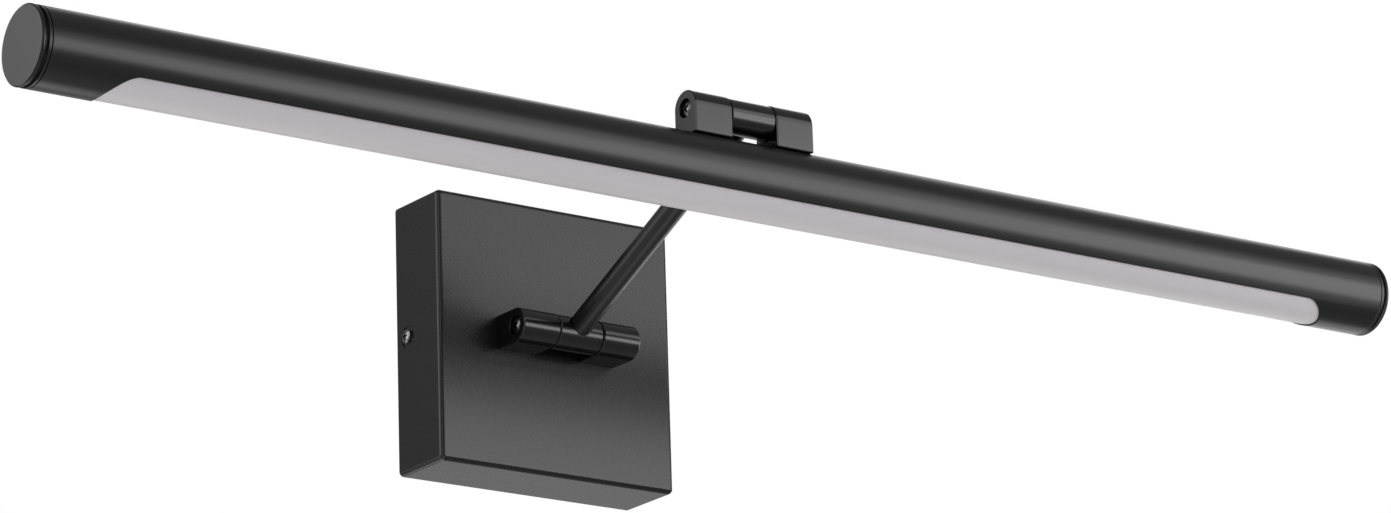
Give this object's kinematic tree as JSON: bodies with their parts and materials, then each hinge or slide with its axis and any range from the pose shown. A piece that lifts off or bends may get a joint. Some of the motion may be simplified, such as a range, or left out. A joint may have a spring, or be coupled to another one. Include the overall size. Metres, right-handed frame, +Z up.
{
  "type": "picture light",
  "caption": "Wall picture light: square canopy, clevis knuckle, straight arm, second knuckle and a long round lamp tube with a lens window along its underside.",
  "frame": {"origin": "centre of the canopy's back, in the plane of the wall, midway between the bracket's two slots for the wall box's screws", "axes": "+X to the right along the lamp tube, +Y into the wall, +Z up"},
  "size_m": [0.625, 0.1747, 0.1172],
  "materials": {
    "canopy_paint": "satin",
    "tube_paint": "satin",
    "zinc_steel": "satin",
    "pivot_steel": "satin",
    "washer_fibre": "matte",
    "earth_screw_green": "gloss",
    "clamp_brass": "satin",
    "black_rubber": "matte",
    "pad_foam": "matte",
    "case_plastic": "satin",
    "block_plastic": "satin",
    "lead_white": "satin",
    "lead_dark": "satin",
    "lead_green": "satin",
    "diffuser_opal": "satin",
    "bare_aluminium": "satin",
    "board_white": "matte",
    "led_phosphor": "gloss"
  },
  "bodies": {
    "wall_mount": {"canopy": "canopy_paint", "canopy_side_screws": "canopy_paint", "wall_bracket": "zinc_steel", "canopy_stiffener": "zinc_steel", "canopy_grommet": "black_rubber", "wall_ear_left": "canopy_paint", "wall_ear_right": "canopy_paint", "wall_ear_screws": "zinc_steel", "wall_pivot_bolt": "pivot_steel", "led_driver": "case_plastic", "driver_pad": "pad_foam", "driver_output_lead": "lead_white", "driver_input_leads": "lead_dark", "terminal_block": "block_plastic", "terminal_clamp_screws": "clamp_brass", "terminal_block_screws": "zinc_steel", "earth_screw": "earth_screw_green", "earth_lead": "lead_green"},
    "arm": {"wall_barrel": "canopy_paint", "wall_pivot_screw": "pivot_steel", "wall_pivot_washers": "washer_fibre", "arm_rod": "canopy_paint", "arm_lead": "lead_white", "lamp_barrel": "canopy_paint", "lamp_pivot_screw": "pivot_steel", "lamp_pivot_washers": "washer_fibre"},
    "lamp": {"lamp_pivot_bolt": "pivot_steel", "lamp_ear_left": "canopy_paint", "lamp_ear_right": "canopy_paint", "lamp_ear_screws": "zinc_steel", "ear_backing_bar": "zinc_steel", "tube_grommet": "black_rubber", "lamp_tube": "tube_paint", "end_cap_left": "tube_paint", "end_cap_right": "tube_paint", "diffuser": "diffuser_opal", "led_carrier": "bare_aluminium", "led_board": "board_white", "led_chips": "led_phosphor", "board_screws": "zinc_steel", "lamp_lead": "lead_white"}
  },
  "joints": [
    {"name": "arm_tilt", "type": "hinge", "parent": "wall_mount", "child": "arm", "pos_m": [0, -0.042, 0], "axis": [-1, 0, 0], "range_deg": [-40, 45]},
    {"name": "lamp_tilt", "type": "hinge", "parent": "arm", "child": "lamp", "pos_m": [0, -0.15972, 0.05515], "axis": [-1, 0, 0], "range_deg": [-10, 90]}
  ]
}
